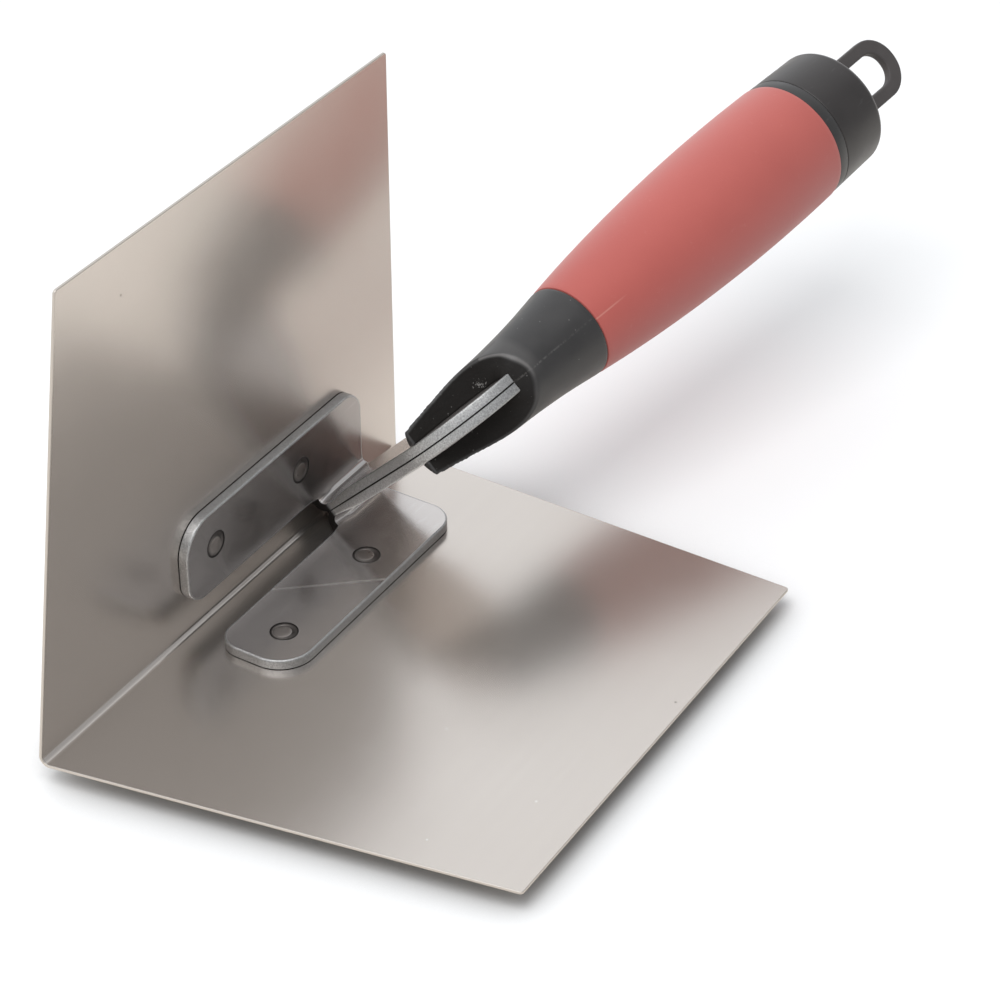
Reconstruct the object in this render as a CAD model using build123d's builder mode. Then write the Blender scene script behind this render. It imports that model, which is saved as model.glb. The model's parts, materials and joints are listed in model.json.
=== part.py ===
"""Inside corner trowel with a riveted bracket pair and a moulded two-tone handle.

All dimensions are in millimetres.  The outer corner line of the blade lies on
the Y axis with its middle at the origin.  The right wing lies flat on z = 0,
the left wing stands on x = 0, and the handle leans out half-way between them
with its free end towards +Y.
"""

import os
from math import cos, radians, sin, sqrt, tan

from build123d import *

# Blade: one bent stainless sheet
BLADE_LENGTH = 127.0
WING_WIDTH = 100.0
FRONT_SETBACK = 18.0
SHEET = 0.6
BLADE_BEND_R = 2.0
BLADE_CORNER_R = 0.8

# Brackets: two folded plates back to back, one foot on each wing
PLATE = 2.3
FOLD_INSIDE_R = 1.0
FOLD_OUTSIDE_R = FOLD_INSIDE_R + PLATE
FOLD_REACH = FOLD_OUTSIDE_R / tan(radians(22.5))
FOOT_INNER = SHEET + FOLD_REACH
FOOT_WIDTH = 19.0
FOOT_FRONT = -16.7
FOOT_REAR = 46.8
FOOT_FRONT_INNER_R = 5.0
FOOT_FRONT_OUTER_R = 8.0
FOOT_REAR_OUTER_R = 6.0
FOOT_TOP = SHEET + PLATE
TANG_START = SHEET * sqrt(2) + FOLD_REACH
TANG_FRONT = 30.5
TANG_SWEEP_R = 22.0
LEG_WAIST = (49.2, 21.5)
LEG_SHOULDER = (54.3, 32.5)
LEG_BACK_R = 14.0
HEEL_STATION = 27.6
HEEL_R = 14.0
BAR_TOP = 6.2
BAR_BOTTOM = -7.5
BAR_END = 87.0
BAR_CORNER_R = 2.0

# Rivets: flush heads in the blade, closed ends in countersinks of the feet
RIVET_OUT = 19.1
RIVET_FRONT = -6.9
RIVET_PITCH = 30.7
SHANK_R = 1.6
FOOT_SINK_R = 3.0
FOOT_SINK = FOOT_SINK_R - SHANK_R
CLOSED_END_R = 2.35
CLOSED_END_DROP = 0.1

# Handle axis, in the plane half-way between the wings
HANDLE_RISE = 12.0
COLLAR_Y = 28.6
COLLAR_OUT = 47.5

# Handle stations along its axis from the collar's front, and radii there
COLLAR_FRONT_R = 8.3
COLLAR_MIDDLE = 23.4
COLLAR_MIDDLE_R = 8.85
COLLAR_REAR_R = 11.1
GRIP_START = 44.4
GRIP_QUARTER = 62.0
GRIP_QUARTER_R = 13.15
GRIP_HALF = 82.0
GRIP_HALF_R = 14.65
GRIP_FULLEST = 106.0
GRIP_FULLEST_R = 15.4
GRIP_END = 124.2
GRIP_END_R = 15.2
SEAT_FRONT_R = 9.2
SEAT_TAPER_END = 78.0
SEAT_R = 12.0
FLANGE_END = 127.2
FLANGE_R = 15.0
SPIGOT_END = 135.5
SPIGOT_R = 11.8
CAP_END = 141.5
CAP_END_R = 14.6
CAP_RIM_R = 1.6
CAP_DOME = 1.6
SCOOP_FRONT = (0.0, -6.0)
SCOOP_RAMP_END = (5.0, -5.05)
SCOOP_BACK = (25.8, 9.8)
LEG_SLOT_END = 38.0
BAR_CLEARANCE = 0.1
PIN_STATION = 70.0
PIN_R = 1.5
PIN_LENGTH = 20.0

# Hang loop: flat strip loop on a round base held under the end cap
LOOP_BASE_R = 9.5
LOOP_BASE = 2.5
LOOP_BASE_END = SPIGOT_END + LOOP_BASE
LOOP_THICKNESS = 2.2
LOOP_OUTER_R = 7.45
LOOP_INNER_R = 4.25
LOOP_OUTER_CENTRE = CAP_END + 17.2
LOOP_INNER_CENTRE = CAP_END + 16.6

# The plane half-way between the wings, and the same plane along the handle
ACROSS = (1, 0, -1)
RISE_SIN = sin(radians(HANDLE_RISE))
RISE_COS = cos(radians(HANDLE_RISE))
MID_PLANE = Plane(origin=(0, 0, 0), x_dir=(0, 1, 0), z_dir=ACROSS)
HANDLE_PLANE = Plane(
    origin=(COLLAR_OUT / sqrt(2), COLLAR_Y, COLLAR_OUT / sqrt(2)),
    x_dir=(RISE_SIN / sqrt(2), RISE_COS, RISE_SIN / sqrt(2)),
    z_dir=ACROSS,
)
HANDLE_AXIS = Axis(HANDLE_PLANE.origin, HANDLE_PLANE.x_dir)
LOOP_PLANE = Plane(
    origin=HANDLE_PLANE.origin,
    x_dir=HANDLE_PLANE.x_dir,
    z_dir=HANDLE_PLANE.y_dir,
)


def mid_point(station, height):
    """Turn a point of the handle plane into a point of the mid plane."""
    return (
        COLLAR_Y + station * RISE_COS - height * RISE_SIN,
        COLLAR_OUT + station * RISE_SIN + height * RISE_COS,
    )


def corner(sketch, point):
    """Vertex of a sketch nearest to a point given in its own plane."""
    return sketch.vertices().sort_by_distance((point[0], point[1], 0))[0]


def bend_section(plane, centre, outside_r, thickness, start, sweep):
    """Cross-section of a sheet bend: a sector of a ring."""
    with BuildSketch(plane) as section:
        with BuildLine():
            outer = CenterArc(centre, outside_r, start, sweep)
            inner = CenterArc(centre, outside_r - thickness, start, sweep)
            Line(outer @ 0, inner @ 0)
            Line(outer @ 1, inner @ 1)
        make_face()
    return section.sketch


def rivet_planes():
    """Planes of the four rivets: x away from the rivet's axis, y through the sheet."""
    planes = []
    for station in (RIVET_FRONT, RIVET_FRONT + RIVET_PITCH):
        planes.append(Plane((RIVET_OUT, station, 0), x_dir=(1, 0, 0), z_dir=(0, -1, 0)))
        planes.append(Plane((0, station, RIVET_OUT), x_dir=(0, 0, 1), z_dir=(0, 1, 0)))
    return planes


def turned_rivets(*points):
    """Four solids turned about the rivet axes from (radius, depth) points."""
    solids = []
    for plane in rivet_planes():
        with BuildPart() as solid:
            with BuildSketch(plane):
                Polygon(*points)
            revolve(axis=Axis(plane.origin, plane.y_dir))
        solids.append(solid.part)
    return solids


with BuildPart() as tang_pin:
    with BuildSketch(HANDLE_PLANE):
        with Locations((PIN_STATION, 0)):
            Circle(PIN_R)
    extrude(amount=PIN_LENGTH / 2, both=True)
tang_pin.part.label = "tang pin"


blade_holes = turned_rivets(
    (0, 0),
    (SHANK_R + SHEET, 0),
    (SHANK_R, SHEET),
    (0, SHEET),
)

with BuildPart() as corner_blade:
    front_tip = (WING_WIDTH, FRONT_SETBACK - BLADE_LENGTH / 2)
    rear_tip = (WING_WIDTH, BLADE_LENGTH / 2)
    with BuildSketch(Plane.XY) as wing:
        Polygon(
            (BLADE_BEND_R, -BLADE_LENGTH / 2),
            front_tip,
            rear_tip,
            (BLADE_BEND_R, BLADE_LENGTH / 2),
        )
        fillet([corner(wing, front_tip), corner(wing, rear_tip)], BLADE_CORNER_R)
    extrude(amount=SHEET)
    mirror(about=MID_PLANE)
    bend_centre = (BLADE_BEND_R, BLADE_BEND_R)
    bend_plane = Plane.XZ.offset(-BLADE_LENGTH / 2)
    extrude(
        bend_section(bend_plane, bend_centre, BLADE_BEND_R, SHEET, 180, 90),
        amount=BLADE_LENGTH,
    )
    add(blade_holes, mode=Mode.SUBTRACT)
corner_blade.part.label = "corner blade"


foot_holes = turned_rivets(
    (0, SHEET),
    (SHANK_R, SHEET),
    (SHANK_R, FOOT_TOP - FOOT_SINK),
    (FOOT_SINK_R, FOOT_TOP),
    (0, FOOT_TOP),
)

with BuildPart() as right_bracket:
    front_inner = (FOOT_INNER, FOOT_FRONT)
    front_outer = (FOOT_INNER + FOOT_WIDTH, FOOT_FRONT)
    rear_outer = (FOOT_INNER + FOOT_WIDTH, FOOT_REAR)
    with BuildSketch(Plane.XY.offset(SHEET)) as foot:
        Polygon(front_inner, front_outer, rear_outer, (FOOT_INNER, FOOT_REAR))
        fillet(corner(foot, front_inner), FOOT_FRONT_INNER_R)
        fillet(corner(foot, front_outer), FOOT_FRONT_OUTER_R)
        fillet(corner(foot, rear_outer), FOOT_REAR_OUTER_R)
    extrude(amount=PLATE)
    fold_centre = (FOOT_INNER, SHEET + FOLD_OUTSIDE_R)
    fold_plane = Plane.XZ.offset(-FOOT_REAR)
    extrude(
        bend_section(fold_plane, fold_centre, FOLD_OUTSIDE_R, PLATE, 135, 135),
        amount=FOOT_REAR - TANG_FRONT,
    )
    sweep_point = mid_point(
        (TANG_FRONT - COLLAR_Y + BAR_TOP * RISE_SIN) / RISE_COS, BAR_TOP
    )
    heel_point = mid_point(HEEL_STATION, BAR_BOTTOM)
    end_top = mid_point(BAR_END, BAR_TOP)
    end_bottom = mid_point(BAR_END, BAR_BOTTOM)
    with BuildSketch(MID_PLANE) as tang:
        Polygon(
            (TANG_FRONT, TANG_START),
            (FOOT_REAR, TANG_START),
            LEG_WAIST,
            LEG_SHOULDER,
            heel_point,
            end_bottom,
            end_top,
            sweep_point,
        )
        fillet(corner(tang, sweep_point), TANG_SWEEP_R)
        fillet([corner(tang, LEG_WAIST), corner(tang, LEG_SHOULDER)], LEG_BACK_R)
        fillet(corner(tang, heel_point), HEEL_R)
        fillet([corner(tang, end_top), corner(tang, end_bottom)], BAR_CORNER_R)
    extrude(amount=PLATE)
    add(foot_holes, mode=Mode.SUBTRACT)
    add(tang_pin.part, mode=Mode.SUBTRACT)
right_bracket.part.label = "right bracket"


with BuildPart() as left_bracket:
    mirror(right_bracket.part, about=MID_PLANE)
left_bracket.part.label = "left bracket"


set_rivets = turned_rivets(
    (0, 0),
    (SHANK_R + SHEET, 0),
    (SHANK_R, SHEET),
    (SHANK_R, FOOT_TOP - FOOT_SINK),
    (CLOSED_END_R, FOOT_TOP - FOOT_SINK_R + CLOSED_END_R),
    (CLOSED_END_R, FOOT_TOP - CLOSED_END_DROP),
    (0, FOOT_TOP - CLOSED_END_DROP),
)

with BuildPart() as rivets:
    add(set_rivets)
rivets.part.label = "rivets"


with BuildPart() as handle_core:
    with BuildSketch(HANDLE_PLANE):
        with BuildLine():
            collar_curve = Spline(
                (0, COLLAR_FRONT_R),
                (COLLAR_MIDDLE, COLLAR_MIDDLE_R),
                (GRIP_START, COLLAR_REAR_R),
            )
            Polyline(
                collar_curve @ 1,
                (GRIP_START, SEAT_FRONT_R),
                (SEAT_TAPER_END, SEAT_R),
                (GRIP_END, SEAT_R),
                (GRIP_END, FLANGE_R),
                (FLANGE_END, FLANGE_R),
                (FLANGE_END, SPIGOT_R),
                (SPIGOT_END, SPIGOT_R),
                (SPIGOT_END, 0),
                (0, 0),
                collar_curve @ 0,
            )
        make_face()
    revolve(axis=HANDLE_AXIS)
    with BuildSketch(HANDLE_PLANE):
        with BuildLine():
            ramp = Line(SCOOP_FRONT, SCOOP_RAMP_END)
            back = TangentArc(SCOOP_RAMP_END, SCOOP_BACK, tangent=ramp % 1)
            Polyline(back @ 1, (0, SCOOP_BACK[1]), ramp @ 0)
        make_face()
    extrude(amount=COLLAR_REAR_R, both=True, mode=Mode.SUBTRACT)
    pocket_top = BAR_TOP + BAR_CLEARANCE
    pocket_bottom = BAR_BOTTOM - BAR_CLEARANCE
    pocket_end = BAR_END + BAR_CLEARANCE
    with BuildSketch(HANDLE_PLANE):
        Polygon(
            (0, -SEAT_R),
            (LEG_SLOT_END, -SEAT_R),
            (LEG_SLOT_END, pocket_bottom),
            (pocket_end, pocket_bottom),
            (pocket_end, pocket_top),
            (0, pocket_top),
        )
    extrude(amount=PLATE, both=True, mode=Mode.SUBTRACT)
    add(tang_pin.part, mode=Mode.SUBTRACT)
handle_core.part.label = "handle core"


with BuildPart() as grip_sleeve:
    with BuildSketch(HANDLE_PLANE):
        with BuildLine():
            grip_curve = Spline(
                (GRIP_START, COLLAR_REAR_R),
                (GRIP_QUARTER, GRIP_QUARTER_R),
                (GRIP_HALF, GRIP_HALF_R),
                (GRIP_FULLEST, GRIP_FULLEST_R),
                (GRIP_END, GRIP_END_R),
            )
            Polyline(
                grip_curve @ 1,
                (GRIP_END, SEAT_R),
                (SEAT_TAPER_END, SEAT_R),
                (GRIP_START, SEAT_FRONT_R),
                grip_curve @ 0,
            )
        make_face()
    revolve(axis=HANDLE_AXIS)
grip_sleeve.part.label = "grip sleeve"


with BuildPart() as end_cap:
    rim = (CAP_END, CAP_END_R)
    crown = (CAP_END + CAP_DOME, 0)
    with BuildSketch(HANDLE_PLANE) as cap_section:
        with BuildLine():
            SagittaArc(crown, rim, CAP_DOME / 4)
            Polyline(
                rim,
                (FLANGE_END, FLANGE_R),
                (FLANGE_END, SPIGOT_R),
                (SPIGOT_END, SPIGOT_R),
                (SPIGOT_END, LOOP_BASE_R),
                (LOOP_BASE_END, LOOP_BASE_R),
                (LOOP_BASE_END, 0),
                crown,
            )
        make_face()
        fillet(corner(cap_section, rim), CAP_RIM_R)
    revolve(axis=HANDLE_AXIS)
    leg_width = LOOP_OUTER_R - LOOP_INNER_R
    leg_middle = (LOOP_OUTER_R + LOOP_INNER_R) / 2
    with BuildSketch(LOOP_PLANE):
        with Locations((CAP_END, leg_middle), (CAP_END, -leg_middle)):
            Rectangle(2 * (CAP_END - LOOP_BASE_END), leg_width)
    extrude(amount=LOOP_THICKNESS / 2, both=True, mode=Mode.SUBTRACT)
end_cap.part.label = "end cap"


with BuildPart() as hang_loop:
    with BuildSketch(HANDLE_PLANE):
        Polygon(
            (SPIGOT_END, 0),
            (SPIGOT_END, LOOP_BASE_R),
            (LOOP_BASE_END, LOOP_BASE_R),
            (LOOP_BASE_END, 0),
        )
    revolve(axis=HANDLE_AXIS)
    with BuildSketch(LOOP_PLANE):
        Polygon(
            (LOOP_BASE_END, -LOOP_OUTER_R),
            (LOOP_OUTER_CENTRE, -LOOP_OUTER_R),
            (LOOP_OUTER_CENTRE, LOOP_OUTER_R),
            (LOOP_BASE_END, LOOP_OUTER_R),
        )
        with Locations((LOOP_OUTER_CENTRE, 0)):
            Circle(LOOP_OUTER_R)
        Polygon(
            (LOOP_BASE_END, -LOOP_INNER_R),
            (LOOP_INNER_CENTRE, -LOOP_INNER_R),
            (LOOP_INNER_CENTRE, LOOP_INNER_R),
            (LOOP_BASE_END, LOOP_INNER_R),
            mode=Mode.SUBTRACT,
        )
        with Locations((LOOP_INNER_CENTRE, 0)):
            Circle(LOOP_INNER_R, mode=Mode.SUBTRACT)
    extrude(amount=LOOP_THICKNESS / 2, both=True)
hang_loop.part.label = "hang loop"


os.makedirs("parts", exist_ok=True)
export_step(corner_blade.part, "parts/corner_blade.step")
export_step(right_bracket.part, "parts/right_bracket.step")
export_step(left_bracket.part, "parts/left_bracket.step")
export_step(rivets.part, "parts/rivets.step")
export_step(handle_core.part, "parts/handle_core.step")
export_step(tang_pin.part, "parts/tang_pin.step")
export_step(grip_sleeve.part, "parts/grip_sleeve.step")
export_step(end_cap.part, "parts/end_cap.step")
export_step(hang_loop.part, "parts/hang_loop.step")
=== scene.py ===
"""Looks and studio for the inside corner trowel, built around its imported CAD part.

Lengths are in millimetres until a mesh is made, which is in metres.  Wings,
brackets and rivets are modelled in the part's own frame.  The handle's pieces
are modelled in a handle frame: X along the handle, Y upwards away from the
blade's corner, Z across.
"""

import json
from math import atan2, cos, exp, pi, radians, sin, sqrt, tan

import bmesh
import bpy
import numpy as np
from mathutils import Matrix, Vector
from mathutils.geometry import delaunay_2d_cdt


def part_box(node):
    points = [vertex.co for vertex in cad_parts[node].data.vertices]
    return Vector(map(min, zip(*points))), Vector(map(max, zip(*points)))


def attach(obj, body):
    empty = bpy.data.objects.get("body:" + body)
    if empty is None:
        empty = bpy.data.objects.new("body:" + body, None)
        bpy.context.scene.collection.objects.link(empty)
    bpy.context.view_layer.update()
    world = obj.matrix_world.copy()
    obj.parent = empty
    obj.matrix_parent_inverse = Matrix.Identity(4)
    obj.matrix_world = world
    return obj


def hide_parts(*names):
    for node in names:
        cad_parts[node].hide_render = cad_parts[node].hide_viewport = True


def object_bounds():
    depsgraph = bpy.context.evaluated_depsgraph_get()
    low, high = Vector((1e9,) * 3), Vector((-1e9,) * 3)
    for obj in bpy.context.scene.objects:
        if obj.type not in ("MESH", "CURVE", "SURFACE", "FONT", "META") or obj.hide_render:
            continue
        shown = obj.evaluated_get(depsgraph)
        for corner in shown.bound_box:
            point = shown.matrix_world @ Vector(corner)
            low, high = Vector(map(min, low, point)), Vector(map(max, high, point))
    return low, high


MM = 0.001

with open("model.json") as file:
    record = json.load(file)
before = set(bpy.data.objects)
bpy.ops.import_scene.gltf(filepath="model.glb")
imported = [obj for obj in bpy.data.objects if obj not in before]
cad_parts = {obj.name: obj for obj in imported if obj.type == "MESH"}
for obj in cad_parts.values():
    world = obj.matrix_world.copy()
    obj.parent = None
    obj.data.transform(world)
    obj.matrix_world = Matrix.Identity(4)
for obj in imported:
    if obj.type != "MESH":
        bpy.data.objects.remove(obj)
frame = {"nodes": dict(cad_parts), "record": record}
cad_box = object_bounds()
record = frame["record"]


# ---------------------------------------------------------------- outlines


def rounded(corners, step=0.3):
    """Closed line through (x, y, radius) corners, with arcs where radius > 0."""
    line = []
    count = len(corners)
    for i, (x, y, radius) in enumerate(corners):
        here = Vector((x, y))
        if radius == 0:
            line.append(here)
            continue
        back = (Vector(corners[i - 1][:2]) - here).normalized()
        ahead = (Vector(corners[(i + 1) % count][:2]) - here).normalized()
        half = back.angle(ahead) / 2
        start = here + back * radius / tan(half)
        end = here + ahead * radius / tan(half)
        centre = here + (back + ahead).normalized() * radius / sin(half)
        first = atan2(start.y - centre.y, start.x - centre.x)
        last = atan2(end.y - centre.y, end.x - centre.x)
        sweep = (last - first + pi) % (2 * pi) - pi
        pieces = max(5, round(abs(sweep) * radius / step))
        for k in range(pieces + 1):
            angle = first + sweep * k / pieces
            line.append(centre + radius * Vector((cos(angle), sin(angle))))
    return line


def densified(line, step):
    """The same closed line with no stretch much longer than step."""
    dense = []
    for a, b in zip(line, line[1:] + line[:1]):
        pieces = max(1, round((b - a).length / step))
        dense += [a.lerp(b, k / pieces) for k in range(pieces)]
    return dense


def circle(x, y, radius, count=48):
    """Clockwise circle, for a hole."""
    return [
        Vector((x + radius * cos(a), y - radius * sin(a)))
        for a in (2 * pi * k / count for k in range(count))
    ]


def inset(line, distance):
    """Closed line moved to its left by distance."""
    points = np.array([tuple(p) for p in line])
    ahead = np.roll(points, -1, 0) - points
    ahead /= np.linalg.norm(ahead, axis=1)[:, None]
    tangent = ahead + np.roll(ahead, 1, 0)
    tangent /= np.linalg.norm(tangent, axis=1)[:, None]
    left = np.stack([-tangent[:, 1], tangent[:, 0]], 1)
    side = np.stack([-ahead[:, 1], ahead[:, 0]], 1)
    lean = np.clip((left * side).sum(1), 0.5, 1)
    return points + left * (distance / lean)[:, None]


def edge_profile(thickness, low, high, turns=4):
    """(inset, depth) pairs that round a plate's edge by low and high radii."""
    pairs = [(low + 0.12, 0.0)]
    for k in range(turns + 1):
        a = pi / 2 * k / turns
        pairs.append((low * (1 - sin(a)), low * (1 - cos(a))))
    pairs.append((0.0, low + 0.06))
    for k in range(turns + 1):
        a = pi / 2 * k / turns
        pairs.append((high * (1 - cos(a)), thickness - high * (1 - sin(a))))
    pairs.append((high + 0.12, thickness))
    return pairs


# ------------------------------------------------------------------ meshes


def inside(points, rings):
    """Even-odd test of points against closed rings."""
    odd = np.zeros(len(points), bool)
    for ring in rings:
        ends = np.roll(ring, -1, 0)
        for (x0, y0), (x1, y1) in zip(ring, ends):
            if y0 == y1:
                continue
            spans = (points[:, 1] > min(y0, y1)) & (points[:, 1] <= max(y0, y1))
            at = x0 + (points[:, 1] - y0) * (x1 - x0) / (y1 - y0)
            odd ^= spans & (points[:, 0] < at)
    return odd


def filled(rings, columns, rows):
    """Triangles between rings, with inner points on a grid of columns and rows."""
    border = np.concatenate(rings)
    grid = np.array([(x, y) for x in columns for y in rows])
    grid = grid[inside(grid, rings)]
    gap = np.array([np.abs(border - p).max(1).min() for p in grid])
    grid = grid[gap > 0.22]
    points = np.concatenate([border, grid])
    edges, start = [], 0
    for ring in rings:
        count = len(ring)
        edges += [(start + k, start + (k + 1) % count) for k in range(count)]
        start += count
    found = delaunay_2d_cdt([Vector(p) for p in points], edges, [], 0, 1e-6)
    back = [origin[0] for origin in found[3]]
    triangles = np.array([[back[i] for i in face] for face in found[2]])
    kept = inside(points[triangles].mean(1), rings)
    corners = points[triangles]
    turn = np.cross(corners[:, 1] - corners[:, 0], corners[:, 2] - corners[:, 0])
    kept &= np.abs(turn) > 1e-9
    return grid, triangles[kept], turn[kept] > 0


def plate(name, bounds, place, columns, rows, low_edge=0.0):
    """Bent or flat plate.  bounds are (closed line, edge profile) pairs, the
    outside anticlockwise and holes clockwise.  place turns (x, y, depth) into
    a point of the part.  The walls of holes, and the outside's edge up to the depth
    low_edge, are marked as gaps, which the materials paint near black as shade."""
    points, faces, edge, gap = [], [], [], []
    low_rings, high_rings, low_index, high_index = [], [], [], []
    for number, (line, profile) in enumerate(bounds):
        rings = []
        for k, (distance, depth) in enumerate(profile):
            ring = inset(line, distance)
            rings.append(range(len(points), len(points) + len(ring)))
            points += [place(x, y, depth) for x, y in ring]
            border = k in (0, len(profile) - 1)
            edge += [0.0 if border else 1.0] * len(ring)
            under = not border and (number > 0 or depth < low_edge + 1e-6)
            gap += [1.0 if under else 0.0] * len(ring)
            if k == 0:
                low_rings.append(ring)
                low_index += rings[-1]
        high_rings.append(ring)
        high_index += rings[-1]
        count = len(line)
        for lower, upper in zip(rings, rings[1:]):
            for k in range(count):
                n = (k + 1) % count
                faces.append((lower[k], lower[n], upper[n], upper[k]))
    for rings, index, depth, upward in (
        (low_rings, low_index, bounds[0][1][0][1], False),
        (high_rings, high_index, bounds[0][1][-1][1], True),
    ):
        grid, triangles, left_turn = filled(rings, columns, rows)
        index = list(index) + list(range(len(points), len(points) + len(grid)))
        points += [place(x, y, depth) for x, y in grid]
        edge += [0.0] * len(grid)
        gap += [0.0] * len(grid)
        for (a, b, c), left in zip(triangles, left_turn):
            if left != upward:
                b, c = c, b
            faces.append((index[a], index[b], index[c]))
    return piece(name, points, faces, edge, gap)


def lathe(name, profile, segments=160, closed=False):
    """Piece turned about X from a line of (x, radius) points."""
    points, faces, rings = [], [], []
    for x, radius in profile:
        if radius < 1e-6:
            rings.append([len(points)] * segments)
            points.append((x, 0, 0))
            continue
        rings.append(range(len(points), len(points) + segments))
        for k in range(segments):
            angle = 2 * pi * k / segments
            points.append((x, radius * cos(angle), radius * sin(angle)))
    pairs = list(zip(rings, rings[1:]))
    if closed:
        pairs.append((rings[-1], rings[0]))
    for one, two in pairs:
        for k in range(segments):
            n = (k + 1) % segments
            face = tuple(dict.fromkeys((one[k], one[n], two[n], two[k])))
            if len(face) > 2:
                faces.append(face)
    return piece(name, points, faces)


def piece(name, points, faces, edge=None, gap=None):
    """Mesh object in metres from points in millimetres."""
    mesh = bpy.data.meshes.new(name)
    mesh.from_pydata([tuple(c * MM for c in p) for p in points], [], faces)
    for label, values in (("edge", edge), ("gap", gap)):
        if values:
            attribute = mesh.attributes.new(label, "FLOAT", "POINT")
            attribute.data.foreach_set("value", np.array(values, np.float32))
    made = bpy.data.objects.new(name, mesh)
    bpy.context.scene.collection.objects.link(made)
    settled(made)
    return made


def settled(made, angle=35):
    """Outward faces and smooth shading that stops at sharp edges."""
    work = bmesh.new()
    work.from_mesh(made.data)
    bmesh.ops.recalc_face_normals(work, faces=work.faces)
    for face in work.faces:
        face.smooth = True
    work.to_mesh(made.data)
    work.free()
    made.data.set_sharp_from_angle(angle=radians(angle))


def applied(made):
    """Bakes an object's modifiers into its mesh."""
    depsgraph = bpy.context.evaluated_depsgraph_get()
    baked = bpy.data.meshes.new_from_object(made.evaluated_get(depsgraph))
    made.modifiers.clear()
    made.data = baked


def cut(target, tool):
    """Removes the tool's volume from the target, then the tool itself."""
    step = target.modifiers.new("cut", "BOOLEAN")
    step.operation = "DIFFERENCE"
    step.solver = "EXACT"
    step.object = tool
    bpy.context.view_layer.update()
    applied(target)
    bpy.data.objects.remove(tool)


def lofted(name, lines, levels):
    """Solid through closed lines in X and Y, one at each Z level."""
    count = len(lines[0])
    points = [(x, y, z) for line, z in zip(lines, levels) for x, y in line]
    faces = [range(count)[::-1], range(len(points) - count, len(points))]
    for start in range(0, len(points) - count, count):
        for k in range(count):
            a, b = start + k, start + (k + 1) % count
            faces.append((a, b, b + count, a + count))
    return piece(name, points, faces)


def prism(name, line, low, high):
    """Straight prism over a closed line in X and Y, from Z low to Z high."""
    return lofted(name, [line, line], (low, high))


# --------------------------------------------------------------- materials


class Look:
    """A material and short ways to add nodes to it."""

    def __init__(self, name):
        self.material = bpy.data.materials.new(name)
        self.material.use_nodes = True
        self.tree = self.material.node_tree
        self.shader = self.tree.nodes["Principled BSDF"]
        self.place = self.node("ShaderNodeTexCoord").outputs["Object"]

    def node(self, kind, inputs=(), **settings):
        made = self.tree.nodes.new(kind)
        for key, value in settings.items():
            setattr(made, key, value)
        for key, value in dict(inputs).items():
            self.feed(made.inputs[key], value)
        return made

    def feed(self, socket, value):
        if isinstance(value, bpy.types.NodeSocket):
            self.tree.links.new(value, socket)
        elif socket.type == "RGBA" and len(value) == 3:
            socket.default_value = (*value, 1)
        else:
            socket.default_value = value

    def set(self, **inputs):
        for key, value in inputs.items():
            self.feed(self.shader.inputs[key.replace("_", " ")], value)

    def stretched(self, stretch):
        return self.node(
            "ShaderNodeMapping", {"Vector": self.place, "Scale": stretch}
        ).outputs["Vector"]

    def noise(self, size, detail=3.0, stretch=(1, 1, 1), rough=0.5):
        """Noise whose blobs are about size millimetres."""
        return self.node(
            "ShaderNodeTexNoise",
            {
                "Vector": self.stretched(stretch),
                "Scale": 1 / (size * MM),
                "Detail": detail,
                "Roughness": rough,
            },
        ).outputs["Fac"]

    def cells(self, size):
        """Distance from the nearest of scattered points, in cells of size mm."""
        return self.node(
            "ShaderNodeTexVoronoi",
            {"Vector": self.place, "Scale": 1 / (size * MM), "Randomness": 1.0},
        ).outputs["Distance"]

    def between(self, value, start, end, low=0.0, high=1.0):
        return self.node(
            "ShaderNodeMapRange",
            {
                "Value": value,
                "From Min": start,
                "From Max": end,
                "To Min": low,
                "To Max": high,
            },
        ).outputs["Result"]

    def math(self, operation, a, b=0.0):
        made = self.node("ShaderNodeMath", operation=operation)
        self.feed(made.inputs[0], a)
        self.feed(made.inputs[1], b)
        return made.outputs[0]

    def mix(self, share, one, two):
        return self.node(
            "ShaderNodeMixRGB", {"Fac": share, "Color1": one, "Color2": two}
        ).outputs["Color"]

    def axis(self, index):
        """One coordinate of the place, in millimetres."""
        split = self.node("ShaderNodeSeparateXYZ", {"Vector": self.place})
        return self.math("MULTIPLY", split.outputs[index], 1 / MM)

    def bump(self, height, depth, normal=None):
        """Relief of depth millimetres for a height that runs from 0 to 1."""
        inputs = {"Height": height, "Distance": depth * MM, "Strength": 1.0}
        if normal:
            inputs["Normal"] = normal
        return self.node("ShaderNodeBump", inputs).outputs["Normal"]

    def attribute(self, name):
        return self.node("ShaderNodeAttribute", attribute_name=name).outputs["Fac"]


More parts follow.
